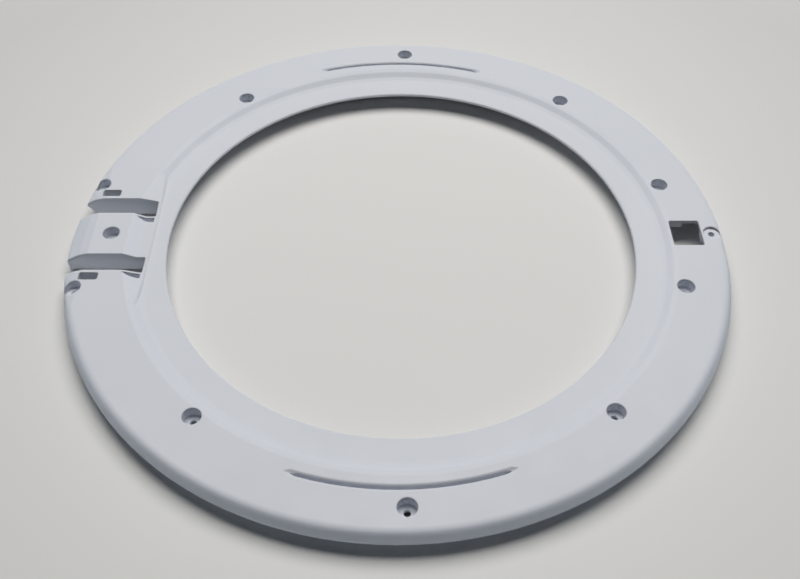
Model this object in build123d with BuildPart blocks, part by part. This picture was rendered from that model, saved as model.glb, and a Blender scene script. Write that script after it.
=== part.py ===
"""Inner ring of a washing machine door: one moulded plastic frame with an open, ribbed back.

Millimetres. The ring lies with its open back down. The origin is the centre of the outer rim on
the resting plane, +Z is the face on the drum side, +X points to the latch and -X to the hinge.
The opening, its step and most of the screws share a centre a little nearer the latch.
"""
import os
from math import cos, degrees, hypot, radians, sin, sqrt, tan

from build123d import *

# shell
wall = 2.4
height = 17.5
rim_r = 220.0
lip_drop = 7.5
lip_lean = 3.2
lip_break = 1.6
lip_ease = 1.0

# from the rim inwards: face, step, flange, opening
opening_shift = 2.3
face_width = 38.5
step_run = 6.7
step_drop = 4.0
step_break = 1.7
flange_width = 18.2
flange_fall = 1.2
opening_chamfer = 0.7

# screws: a recess for the head, a hole for the shank, a post round both
recess_r = 5.65
recess_depth = 7.2
shank_r = 2.0
post_wall = 2.3
post_floor = 2.5
post_sides = 12
screw_gap = 0.85
crown_turn = 0.72
corner_spread = 40.1
latch_pair_angle = 14.6
crown_screw_x = 5.5
crown_screw_inset = 17.9
hinge_pair_y = 47.8
hinge_pair_inset = 12.2
pad_screw_inset = 27.7
latch_screw_inset = 9.1
latch_recess_depth = 1.6
latch_post_depth = 5.0

# latch window
window_inset = 16.1
window_length = 20.0
window_width = 22.6
window_corner = 1.2
tab_length = 10.0
tab_depth = 5.8
tab_thick = 1.8

# hinge slots, open at the rim, with a pad left between them
slot_y = 26.2
slot_width = 14.1
slot_length = 53.5
slot_corner = 1.0
channel_wall = 2.4
channel_lift = 2.5
pad_lift = 1.0
end_wall = 1.8
channel_end_inset = 3.0
channel_end_lean = 36.0

# bevel across the rim on the hinge side
bevel_inset = 12.6
bevel_angle = 30.0
bevel_ease = 3.0

# ramps from the face down to the land at the inner ends of the slots, and the straight edge of the land
land_drop = 3.6
ramp_gap = 1.8
pad_ramp_run = 8.2
chord_fall = 1.2
chord_run = 0.9
chord_end_gap = 3.6

# pockets beside the inner ends of the slots
pocket_lip = 1.5
pocket_gap = 0.6
pocket_length = 11.6
pocket_width = 3.8
pocket_bulge = 0.8
pocket_depth = 7.5
pocket_wall = 1.6

# rectangular holes beside the slots
catch_inset = 20.5
catch_gap = 2.45
catch_length = 12.6
catch_width = 6.0
catch_depth = 8.0
catch_wall = 1.6
catch_corner = 1.4

# curved grooves at the top and the bottom of the door
groove_inset = 29.5
groove_width = 4.0
groove_entry_depth = 1.3
groove_entry_draft = 50.0
groove_slit = 1.8
groove_depth = 4.2
groove_half_angle = 19.8
groove_taper_angle = 1.2
groove_wall = 1.8

# open back: skirt the ring rests on, seat ring under the flange, ribs
skirt_inset = 8.0
skirt_wall = 2.0
skirt_hinge_gap = 58.0
skirt_latch_gap = 13.0
seat_inset = 12.4
seat_wall = 2.0
seat_lift = 5.5
rib_wall = 1.8
rib_lift = 6.0
rib_step = 15
rib_hinge_clear = 19.0
rib_latch_clear = 5.0
plate_overlap = 12.0

# levels and spans that follow from these
step_outer_r = rim_r - face_width
step_inner_r = step_outer_r - step_run
opening_r = step_inner_r - flange_width
screw_circle_r = step_outer_r + screw_gap + recess_r
crown_screw_y = rim_r - crown_screw_inset
hinge_pair_x = hinge_pair_inset - rim_r
pad_screw_x = pad_screw_inset - rim_r
latch_screw_x = rim_r - latch_screw_inset
window_x = rim_r - window_inset - window_length
bevel_x = bevel_inset - rim_r
channel_end_x = channel_end_inset - rim_r
catch_x = catch_inset - rim_r
catch_y = slot_y + slot_width / 2 + catch_gap + catch_width / 2
groove_r = rim_r - groove_inset
groove_back_half_angle = groove_half_angle + degrees(groove_wall / groove_r)
skirt_r = rim_r - skirt_inset
seat_r = opening_r + seat_inset
face_z = height
lip_z = face_z - lip_drop
flange_z = face_z - step_drop
sunk = wall / 2
under_face = face_z - sunk
bevel_slope = tan(radians(bevel_angle))
bevel_wall = wall / cos(radians(bevel_angle))
land_z = face_z - land_drop
slot_end_x = slot_length - rim_r
slot_end_r = opening_shift - slot_end_x
chord_r = slot_end_r - end_wall
chord_foot_r = chord_r - chord_run
ramp_r = step_outer_r + ramp_gap
ramp_end_y = sqrt((step_outer_r - chord_end_gap) ** 2 - chord_r**2)
ramp_end_r = sqrt((step_outer_r + step_break) ** 2 - ramp_end_y**2)
post_r = recess_r + post_wall
post_z = face_z - recess_depth - post_floor
pocket_end_x = slot_end_x - pocket_gap
pocket_mid_x = pocket_end_x - pocket_length / 2
pocket_ys = [sy * slot_y - slot_width / 2 - pocket_lip for sy in (-1, 1)]
above = 5.0

crown_angle = 90 - crown_turn
upper_angles = [latch_pair_angle, crown_angle - corner_spread, crown_angle + corner_spread]
circle_angles = [sy * a for a in upper_angles for sy in (-1, 1)]
circle_spots = [
    (opening_shift + screw_circle_r * cos(radians(a)), screw_circle_r * sin(radians(a)))
    for a in circle_angles
]
crown_spots = [(crown_screw_x, sy * crown_screw_y) for sy in (-1, 1)]
hinge_spots = [(hinge_pair_x, sy * hinge_pair_y) for sy in (-1, 1)]
deep_spots = circle_spots + crown_spots + hinge_spots + [(pad_screw_x, 0)]
catch_spots = [(catch_x, sy * catch_y) for sy in (-1, 1)]
rib_angles = [a for a in range(0, 360, rib_step) if rib_hinge_clear < abs(a - 180) < 180 - rib_latch_clear]


def radial_plane(angle):
    """Upright plane through the centre of the opening: local x runs outwards, local y is +Z."""
    turn = radians(angle)
    outwards = (cos(turn), sin(turn), 0)
    return Plane(origin=(opening_shift, 0, 0), x_dir=outwards, z_dir=(sin(turn), -cos(turn), 0))


def groove_outline(middle, width, half_angle):
    """Closed outline of a curved groove with pointed ends, about the centre of the opening."""
    inner = groove_r - width / 2
    outer = groove_r + width / 2
    full_start = middle - half_angle + groove_taper_angle
    full_span = 2 * (half_angle - groove_taper_angle)
    tip_turns = [radians(middle - half_angle), radians(middle + half_angle)]
    tips = [(groove_r * cos(turn), groove_r * sin(turn)) for turn in tip_turns]
    long_side = CenterArc((0, 0), outer, full_start, full_span)
    short_side = CenterArc((0, 0), inner, full_start, full_span)
    Polyline(long_side @ 0, tips[0], short_side @ 0)
    Polyline(long_side @ 1, tips[1], short_side @ 1)


def step_level(x, y):
    """Height of the step's slope, x and y from the centre of the opening."""
    return face_z - (step_outer_r - hypot(x, y)) * step_drop / step_run


def land_points(top_r, foot_r, foot_z, inner_z):
    """Outline of the material under a ramp and the land, up to the face, ending in the slanted chord."""
    chord_top_r = chord_foot_r + (face_z - inner_z + chord_fall) * chord_run / chord_fall
    return [
        (top_r + wall, face_z),
        (top_r + wall, face_z - wall),
        (foot_r, foot_z - wall),
        (chord_foot_r, inner_z - wall),
        (chord_foot_r, inner_z - chord_fall),
        (chord_top_r, face_z),
    ]


def ramp_points(top_r, foot_r, foot_z, inner_z):
    """Outline of the space above a ramp and the land."""
    return [
        (top_r, face_z),
        (foot_r, foot_z),
        (chord_foot_r, inner_z),
        (chord_foot_r, face_z + above),
        (top_r, face_z + above),
    ]


def hinge_section(points, y):
    """Face across the hinge side at y, from points given outwards from the opening's centre and up."""
    with BuildSketch(radial_plane(180).offset(y)) as section:
        with BuildLine():
            Polyline(*points, close=True)
        make_face()
    return section.sketch


def soften_lip(section):
    """Turns the corner between face and lip in four small steps."""
    corner = (rim_r - lip_lean, face_z)
    chamfer(section.vertices().sort_by_distance(corner)[0], length=lip_break)
    chamfer(section.vertices().sort_by_distance(corner)[:2], length=lip_ease)


# ramp sections, each as top radius, foot radius, level of its foot, level at the chord
pad_ramp = (ramp_r, ramp_r - pad_ramp_run, land_z, land_z)
slot_ramp = (ramp_r, slot_end_r, land_z, land_z)
ramp_end = (ramp_end_r, slot_end_r, step_level(slot_end_r, ramp_end_y), step_level(chord_foot_r, ramp_end_y))

# space inside the outer skin, straight down from the lip
with BuildPart() as envelope:
    with BuildSketch(Plane.XZ) as filled_section:
        with BuildLine():
            Polyline((0, face_z), (rim_r - lip_lean, face_z), (rim_r, lip_z), (rim_r, 0), (0, 0), close=True)
        make_face()
        soften_lip(filled_section)
    revolve(axis=Axis.Z)

# screw posts, and ribs from the seat ring to the skirt, held below the face and the step
with BuildPart() as ribs:
    with BuildSketch(Plane.XY.offset(post_z)):
        with Locations(*deep_spots):
            RegularPolygon(post_r, post_sides)
    extrude(amount=under_face - post_z)
    with BuildSketch(Plane.XY.offset(rib_lift)):
        for angle in rib_angles:
            with Locations(Location((0, 0, 0), (0, 0, angle))):
                with Locations(((seat_r + skirt_r) / 2, 0)):
                    Rectangle(skirt_r - seat_r, rib_wall)
    extrude(amount=under_face - rib_lift)
    with BuildSketch(radial_plane(0)):
        with BuildLine():
            Polyline(
                (rim_r, 0),
                (rim_r, under_face),
                (step_outer_r, under_face),
                (step_inner_r, flange_z - sunk),
                (opening_r, flange_z - flange_fall - sunk),
                (opening_r, 0),
                close=True,
            )
        make_face()
    revolve(axis=Axis((opening_shift, 0, 0), (0, 0, 1)), mode=Mode.INTERSECT)

# block the ramps and the land are cut from, hollow below them
with BuildPart() as land:
    extrude(hinge_section(land_points(*pad_ramp), 0), amount=slot_y, both=True)
    for side in (-1, 1):
        start = hinge_section(land_points(*slot_ramp), side * slot_y)
        loft([start, hinge_section(land_points(*ramp_end), side * ramp_end_y)])

# everything that stands under the skin
with BuildPart() as backing:
    # skirt
    with BuildSketch(Plane.XY):
        Circle(skirt_r + skirt_wall / 2)
        Circle(skirt_r - skirt_wall / 2, mode=Mode.SUBTRACT)
        with Locations((-rim_r / 2, 0)):
            Rectangle(rim_r, 2 * skirt_hinge_gap, mode=Mode.SUBTRACT)
        with Locations((rim_r / 2, 0)):
            Rectangle(rim_r, 2 * skirt_latch_gap, mode=Mode.SUBTRACT)
    extrude(amount=under_face)
    # seat ring under the flange
    with BuildSketch(Plane.XY.offset(seat_lift)):
        with Locations((opening_shift, 0)):
            Circle(seat_r + seat_wall / 2)
            Circle(seat_r - seat_wall / 2, mode=Mode.SUBTRACT)
    extrude(amount=flange_z - wall - seat_lift)
    add(ribs.part)
    # post of the latch screw
    with BuildSketch(Plane.XY.offset(face_z - latch_post_depth)):
        with Locations((latch_screw_x, 0)):
            RegularPolygon(post_r, post_sides)
    extrude(amount=latch_post_depth - sunk)
    # walls of the hinge slots and the rim wall of the pad
    with BuildSketch(Plane.XY.offset(channel_lift)):
        for side in (-1, 1):
            with Locations((slot_end_x + end_wall, side * slot_y)):
                Rectangle(slot_length, slot_width + 2 * channel_wall, align=(Align.MAX, Align.CENTER))
    extrude(amount=under_face - channel_lift)
    with BuildSketch(Plane.XY.offset(pad_lift)):
        Circle(rim_r)
        Circle(rim_r - wall, mode=Mode.SUBTRACT)
        with Locations((-rim_r, 0)):
            Rectangle(rim_r, 2 * slot_y, mode=Mode.INTERSECT)
    extrude(amount=under_face - pad_lift)
    # skin under the bevel
    with BuildSketch(Plane.XZ):
        with BuildLine():
            Polyline(
                (bevel_x + wall, face_z - sunk),
                (bevel_x + wall, face_z - bevel_wall),
                (bevel_x, face_z - bevel_wall),
                (-rim_r, face_z - bevel_wall - (bevel_x + rim_r) * bevel_slope),
                (-rim_r, face_z - sunk),
                close=True,
            )
        make_face()
    extrude(amount=rim_r, both=True)
    add(land.part)
    # walls of the rectangular holes
    with BuildSketch(Plane.XY.offset(face_z - catch_depth)):
        with Locations(*catch_spots):
            Rectangle(catch_length + 2 * catch_wall, catch_width + 2 * catch_wall)
    extrude(amount=catch_depth - sunk)
    # walls of the pockets
    with BuildSketch(Plane.XY.offset(face_z - pocket_depth - pocket_wall)):
        with Locations(*[(pocket_mid_x, y - pocket_width / 2) for y in pocket_ys]):
            Rectangle(pocket_length + 2 * pocket_wall, pocket_width + 2 * pocket_wall)
    extrude(amount=pocket_depth + pocket_wall - sunk)
    # backs of the curved grooves
    with BuildSketch(Plane.XY.offset(face_z - groove_depth - groove_wall)):
        with Locations((opening_shift, 0)):
            for middle in (crown_angle, -crown_angle):
                with BuildLine():
                    groove_outline(middle, groove_width + 2 * groove_wall, groove_back_half_angle)
                make_face()
    extrude(amount=groove_depth + groove_wall - sunk)
    # tabs beside the latch window
    with BuildSketch(Plane.XY.offset(face_z - tab_depth)):
        for side in (-1, 1):
            with Locations((window_x + tab_length / 2, side * (window_width + tab_thick) / 2)):
                Rectangle(tab_length, tab_thick)
    extrude(amount=tab_depth - sunk)
    # outer ends of the slot walls lean in below the lip
    for side in (-1, 1):
        with BuildSketch(Plane.XZ.offset(-side * slot_y)):
            with BuildLine():
                Polyline(
                    (channel_end_x, lip_z),
                    (channel_end_x + lip_z * tan(radians(channel_end_lean)), 0),
                    (-2 * rim_r, 0),
                    (-2 * rim_r, lip_z),
                    close=True,
                )
            make_face()
        extrude(amount=-side * slot_width, mode=Mode.SUBTRACT)
    add(envelope.part, mode=Mode.INTERSECT)

# space above the ramps and the land
with BuildPart() as ramps:
    extrude(hinge_section(ramp_points(*pad_ramp), 0), amount=slot_y, both=True)
    for side in (-1, 1):
        start = hinge_section(ramp_points(*slot_ramp), side * slot_y)
        loft([start, hinge_section(ramp_points(*ramp_end), side * ramp_end_y)])

with BuildPart() as ring:
    # face and lip
    with BuildSketch(Plane.XZ) as lip_section:
        with BuildLine():
            Polyline((step_outer_r + plate_overlap, face_z), (rim_r - lip_lean, face_z), (rim_r, lip_z))
            offset(amount=wall, side=Side.RIGHT, kind=Kind.INTERSECTION)
        make_face()
        soften_lip(lip_section)
    revolve(axis=Axis.Z)
    # face, step and flange, with the edge of the opening broken
    with BuildSketch(radial_plane(0)) as step_section:
        with BuildLine():
            Polyline(
                (step_outer_r + 2 * plate_overlap, face_z),
                (step_outer_r, face_z),
                (step_inner_r, flange_z),
                (opening_r, flange_z - flange_fall),
            )
            offset(amount=wall, side=Side.LEFT, kind=Kind.INTERSECTION)
        make_face()
        chamfer(step_section.vertices().sort_by_distance((step_outer_r, face_z))[0], length=step_break)
        chamfer(step_section.vertices().sort_by_distance((step_inner_r, flange_z))[0], length=step_break)
        chamfer(step_section.vertices().sort_by(Axis.X)[:2], length=opening_chamfer)
    revolve(axis=Axis((opening_shift, 0, 0), (0, 0, 1)))
    add(backing.part)
    # ramps and bevel
    add(ramps.part, mode=Mode.SUBTRACT)
    with BuildSketch(Plane.XZ):
        with BuildLine():
            Polyline(
                (bevel_x + bevel_ease, face_z),
                (bevel_x - bevel_ease, face_z - bevel_ease * bevel_slope),
                (-2 * rim_r, face_z - (bevel_x + 2 * rim_r) * bevel_slope),
                (-2 * rim_r, face_z + above),
                (bevel_x + bevel_ease, face_z + above),
                close=True,
            )
        make_face()
    extrude(amount=rim_r, both=True, mode=Mode.SUBTRACT)
    # hinge slots
    with BuildSketch(Plane.XY):
        for side in (-1, 1):
            with Locations((slot_end_x, side * slot_y)):
                RectangleRounded(2 * slot_length, slot_width, slot_corner, align=(Align.MAX, Align.CENTER))
    extrude(amount=height + above, mode=Mode.SUBTRACT)
    # pockets beside the inner ends of the slots
    with BuildSketch(Plane.XY.offset(face_z - pocket_depth)):
        for y in pocket_ys:
            with BuildLine():
                Polyline(
                    (pocket_end_x - pocket_length, y),
                    (pocket_end_x, y),
                    (pocket_end_x, y - pocket_width),
                )
                ThreePointArc(
                    (pocket_end_x, y - pocket_width),
                    (pocket_mid_x, y - pocket_width * pocket_bulge),
                    (pocket_end_x - pocket_length, y),
                )
            make_face()
    extrude(amount=pocket_depth + above, mode=Mode.SUBTRACT)
    # screw recesses and shank holes
    with Locations(*[(x, y, face_z) for x, y in deep_spots]):
        CounterBoreHole(shank_r, recess_r, recess_depth, height)
    with Locations((latch_screw_x, 0, face_z)):
        CounterBoreHole(shank_r, recess_r, latch_recess_depth, height)
    # latch window
    with BuildSketch(Plane.XY):
        with Locations((window_x + window_length / 2, 0)):
            RectangleRounded(window_length, window_width, window_corner)
    extrude(amount=height + above, mode=Mode.SUBTRACT)
    # rectangular holes
    with BuildSketch(Plane.XY):
        with Locations(*catch_spots):
            RectangleRounded(catch_length, catch_width, catch_corner)
    extrude(amount=height + above, mode=Mode.SUBTRACT)
    # curved grooves: a sloped entry, then a narrow slit
    with BuildSketch(Plane.XY.offset(face_z)):
        with Locations((opening_shift, 0)):
            for middle in (crown_angle, -crown_angle):
                with BuildLine():
                    groove_outline(middle, groove_width, groove_half_angle)
                make_face()
    extrude(amount=-groove_entry_depth, taper=groove_entry_draft, mode=Mode.SUBTRACT)
    with BuildSketch(Plane.XY.offset(face_z - groove_depth)):
        with Locations((opening_shift, 0)):
            for middle in (crown_angle, -crown_angle):
                with BuildLine():
                    groove_outline(middle, groove_slit, groove_half_angle - groove_taper_angle)
                make_face()
    extrude(amount=groove_depth + above, mode=Mode.SUBTRACT)

ring.part.label = "inner_door_ring"
os.makedirs("parts", exist_ok=True)
export_step(ring.part, "parts/inner_door_ring.step")
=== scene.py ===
"""Looks of the inner door ring: satin white moulded plastic on a pale floor in soft light."""
from math import radians

import bpy
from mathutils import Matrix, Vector


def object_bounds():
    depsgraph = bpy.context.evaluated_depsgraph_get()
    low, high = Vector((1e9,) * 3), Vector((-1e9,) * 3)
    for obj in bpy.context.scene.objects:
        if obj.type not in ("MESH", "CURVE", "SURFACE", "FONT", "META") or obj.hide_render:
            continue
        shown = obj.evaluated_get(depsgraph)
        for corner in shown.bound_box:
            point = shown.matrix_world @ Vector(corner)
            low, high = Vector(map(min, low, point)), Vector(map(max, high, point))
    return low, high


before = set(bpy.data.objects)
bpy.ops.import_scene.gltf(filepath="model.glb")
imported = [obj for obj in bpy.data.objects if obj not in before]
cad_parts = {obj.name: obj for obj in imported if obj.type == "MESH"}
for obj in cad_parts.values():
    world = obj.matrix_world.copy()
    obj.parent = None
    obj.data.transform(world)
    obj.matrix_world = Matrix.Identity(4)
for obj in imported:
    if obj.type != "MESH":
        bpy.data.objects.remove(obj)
cad_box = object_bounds()

# camera, from the photograph's perspective
CAMERA_AT = (0.0016, -0.4339, 0.4626)
CAMERA_TILT = 40.76
CAMERA_LENS = 41.6
SENSOR_WIDTH = 36.0
CLIP_START = 0.01

# one broad soft lamp above the far side
LAMP_AT = (0.11, 0.80, 1.97)
LAMP_WIDTH = 2.6
LAMP_DEPTH = 1.6
LAMP_POWER = 46.0
LAMP_COLOUR = (1.0, 0.985, 0.96)

# glow of pale walls low all round, stronger from left and right, under a nearly dark sky
GLOW_COLOUR = (0.70, 0.85, 1.0)
GLOW_ENDS = 1.1
GLOW_SIDES = 4.5
GLOW_HEIGHT = 0.10
SKY_STRENGTH = 0.01

# what the camera sees behind the floor
BACKDROP = (0.56, 0.555, 0.535)

# span in which most of a noise texture's values lie, and its usual build
NOISE_LOW = 0.3
NOISE_HIGH = 0.7
NOISE_DETAIL = 2.0
NOISE_ROUGH = 0.5

# plastic: slow clouds of tone, the ripple of a moulding, and a fine grain; scales per metre
PLASTIC_DARK = (0.698, 0.730, 0.796)
PLASTIC_LIGHT = (0.720, 0.750, 0.813)
PLASTIC_IOR = 1.49
SHEEN_LOW = 0.52
SHEEN_HIGH = 0.62
CLOUD_SCALE = 9.0
CLOUD_DETAIL = 3.0
CLOUD_ROUGH = 0.55
RIPPLE_SCALE = 46.0
RIPPLE_STRENGTH = 0.10
RIPPLE_HEIGHT = 0.0004
GRAIN_SCALE = 1400.0
GRAIN_STRENGTH = 0.12
GRAIN_HEIGHT = 0.00012

# rounding of the moulding's edges, fuller along the lip at the rim
RIM = cad_box[1][0]
LIP_INSET = 0.011
LIP_FULL_INSET = 0.004
LIP_FROM = RIM - LIP_INSET
LIP_TO = RIM - LIP_FULL_INSET
EDGE_RADIUS = 0.0014
LIP_RADIUS = 0.0030
EDGE_SAMPLES = 8

# floor, with painted shade of the light falling off: a little darker away from the part; scales
# per metre
FLOOR_HALF = 1.3
# the floor's middle, from which its painted shade is measured, sits a little toward the camera
FLOOR_AT = (0.0, -0.06, -0.0002)
FLOOR_DARK = (0.808, 0.808, 0.802)
FLOOR_LIGHT = (0.822, 0.822, 0.816)
FLOOR_ROUGHNESS = 0.7
FLOOR_CLOUD_SCALE = 1.6
FLOOR_GRAIN_SCALE = 260.0
FLOOR_GRAIN_STRENGTH = 0.05
FLOOR_GRAIN_HEIGHT = 0.0002
# painted shade: where the floor starts and stops darkening, and how dark it gets
PAINTED_SHADE_START = 0.20
PAINTED_SHADE_END = 0.46
PAINTED_SHADE_LEVEL = 0.84


def link(tree, source, output, target, entry):
    """Joins an output of one node to an input of another."""
    tree.links.new(source.outputs[output], target.inputs[entry])


def noise(tree, coords, scale, detail=NOISE_DETAIL, rough=NOISE_ROUGH):
    """Noise texture in object coordinates."""
    node = tree.nodes.new("ShaderNodeTexNoise")
    node.inputs["Scale"].default_value = scale
    node.inputs["Detail"].default_value = detail
    node.inputs["Roughness"].default_value = rough
    link(tree, coords, "Object", node, "Vector")
    return node


def remap(tree, source, output, start, end, first, last):
    """Carries a span of values over to another span, held at both ends."""
    node = tree.nodes.new("ShaderNodeMapRange")
    node.inputs["From Min"].default_value = start
    node.inputs["From Max"].default_value = end
    node.inputs["To Min"].default_value = first
    node.inputs["To Max"].default_value = last
    link(tree, source, output, node, "Value")
    return node


def tint(tree, source, dark, light):
    """Carries a noise over to a span of colours."""
    node = tree.nodes.new("ShaderNodeValToRGB")
    stops = node.color_ramp.elements
    stops[0].position = NOISE_LOW
    stops[0].color = (*dark, 1.0)
    stops[1].position = NOISE_HIGH
    stops[1].color = (*light, 1.0)
    link(tree, source, "Fac", node, "Fac")
    return node


def bump(tree, source, strength, height, under=None):
    """Raises the surface by a noise, on top of another relief if one is given."""
    node = tree.nodes.new("ShaderNodeBump")
    node.inputs["Strength"].default_value = strength
    node.inputs["Distance"].default_value = height
    link(tree, source, "Fac", node, "Height")
    if under is not None:
        link(tree, under, "Normal", node, "Normal")
    return node


def by_reach(tree, coords, start, end, inside, outside):
    """Value that changes from one level to another with the distance from the object's origin."""
    reach = tree.nodes.new("ShaderNodeVectorMath")
    reach.operation = "LENGTH"
    link(tree, coords, "Object", reach, 0)
    return remap(tree, reach, "Value", start, end, inside, outside)


def soft_edges(tree, coords):
    """Rounds the shading of edges, as on a moulding."""
    node = tree.nodes.new("ShaderNodeBevel")
    node.samples = EDGE_SAMPLES
    radius = by_reach(tree, coords, LIP_FROM, LIP_TO, EDGE_RADIUS, LIP_RADIUS)
    link(tree, radius, "Result", node, "Radius")
    return node


def paint_floor_shade(tree, coords, colour):
    """Painted shade: darkens a colour with the distance from the middle of the floor, where the
    light falls off.
    """
    level = by_reach(tree, coords, PAINTED_SHADE_START, PAINTED_SHADE_END, 1.0, PAINTED_SHADE_LEVEL)
    node = tree.nodes.new("ShaderNodeHueSaturation")
    link(tree, level, "Result", node, "Value")
    link(tree, colour, "Color", node, "Color")
    return node


def shaded(name):
    """New material: its tree, its shader and the object's coordinates."""
    made = bpy.data.materials.new(name)
    made.use_nodes = True
    tree = made.node_tree
    coords = tree.nodes.new("ShaderNodeTexCoord")
    return made, tree, tree.nodes["Principled BSDF"], coords


def plastic():
    """Satin white plastic with softened edges."""
    made, tree, shader, coords = shaded("white_plastic")
    clouds = noise(tree, coords, CLOUD_SCALE, CLOUD_DETAIL, CLOUD_ROUGH)
    grain = noise(tree, coords, GRAIN_SCALE)
    ripple = noise(tree, coords, RIPPLE_SCALE)
    colour = tint(tree, clouds, PLASTIC_DARK, PLASTIC_LIGHT)
    link(tree, colour, "Color", shader, "Base Color")
    sheen = remap(tree, ripple, "Fac", NOISE_LOW, NOISE_HIGH, SHEEN_LOW, SHEEN_HIGH)
    link(tree, sheen, "Result", shader, "Roughness")
    shader.inputs["IOR"].default_value = PLASTIC_IOR
    waves = bump(tree, ripple, RIPPLE_STRENGTH, RIPPLE_HEIGHT, soft_edges(tree, coords))
    skin = bump(tree, grain, GRAIN_STRENGTH, GRAIN_HEIGHT, waves)
    link(tree, skin, "Normal", shader, "Normal")
    return made


def floor_paint():
    """Pale matt paint, with painted shade darkening it away from the part."""
    made, tree, shader, coords = shaded("pale_floor")
    clouds = noise(tree, coords, FLOOR_CLOUD_SCALE)
    grain = noise(tree, coords, FLOOR_GRAIN_SCALE)
    colour = tint(tree, clouds, FLOOR_DARK, FLOOR_LIGHT)
    link(tree, paint_floor_shade(tree, coords, colour), "Color", shader, "Base Color")
    shader.inputs["Roughness"].default_value = FLOOR_ROUGHNESS
    skin = bump(tree, grain, FLOOR_GRAIN_STRENGTH, FLOOR_GRAIN_HEIGHT)
    link(tree, skin, "Normal", shader, "Normal")
    return made


def add_lamp():
    """Soft lamp, aimed at the part's origin."""
    light = bpy.data.lights.new("lamp", "AREA")
    light.shape = "ELLIPSE"
    light.size = LAMP_WIDTH
    light.size_y = LAMP_DEPTH
    light.energy = LAMP_POWER
    light.color = LAMP_COLOUR
    lamp = bpy.data.objects.new("lamp", light)
    lamp.location = LAMP_AT
    lamp.rotation_euler = (-Vector(LAMP_AT)).to_track_quat("-Z", "Y").to_euler()
    bpy.context.scene.collection.objects.link(lamp)


def add_room():
    """World light: the walls' glow for the part, the plain backdrop for the camera."""
    world = bpy.data.worlds.new("studio")
    bpy.context.scene.world = world
    world.use_nodes = True
    tree = world.node_tree
    direction = tree.nodes.new("ShaderNodeTexCoord")
    along = tree.nodes.new("ShaderNodeSeparateXYZ")
    link(tree, direction, "Generated", along, "Vector")
    sideways = tree.nodes.new("ShaderNodeMath")
    sideways.operation = "MULTIPLY"
    link(tree, along, "X", sideways, 0)
    link(tree, along, "X", sideways, 1)
    foot = remap(tree, sideways, "Value", 0.0, 1.0, GLOW_ENDS, GLOW_SIDES)
    # the strength at the horizon depends on the side, so it comes in by a link
    glow = remap(tree, along, "Z", 0.0, GLOW_HEIGHT, GLOW_ENDS, SKY_STRENGTH)
    link(tree, foot, "Result", glow, "To Min")
    walls = tree.nodes["Background"]
    walls.inputs["Color"].default_value = (*GLOW_COLOUR, 1.0)
    link(tree, glow, "Result", walls, "Strength")
    backdrop = tree.nodes.new("ShaderNodeBackground")
    backdrop.inputs["Color"].default_value = (*BACKDROP, 1.0)
    rays = tree.nodes.new("ShaderNodeLightPath")
    seen = tree.nodes.new("ShaderNodeMixShader")
    link(tree, rays, "Is Camera Ray", seen, "Fac")
    link(tree, walls, "Background", seen, 1)
    link(tree, backdrop, "Background", seen, 2)
    link(tree, seen, "Shader", tree.nodes["World Output"], "Surface")


def add_camera():
    """Camera at the photograph's angle."""
    lens = bpy.data.cameras.new("camera")
    lens.lens = CAMERA_LENS
    lens.sensor_width = SENSOR_WIDTH
    lens.clip_start = CLIP_START
    camera = bpy.data.objects.new("camera", lens)
    camera.location = CAMERA_AT
    camera.rotation_euler = (radians(CAMERA_TILT), 0, 0)
    bpy.context.scene.collection.objects.link(camera)
    bpy.context.scene.camera = camera


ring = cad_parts["inner_door_ring"]
white = plastic()
for place in ring.material_slots:
    place.material = white

bpy.ops.mesh.primitive_plane_add(size=2 * FLOOR_HALF, location=FLOOR_AT)
floor = bpy.context.object
floor.name = "floor"
floor.data.materials.append(floor_paint())

add_lamp()
add_room()
add_camera()
bpy.context.scene.view_settings.view_transform = "Standard"
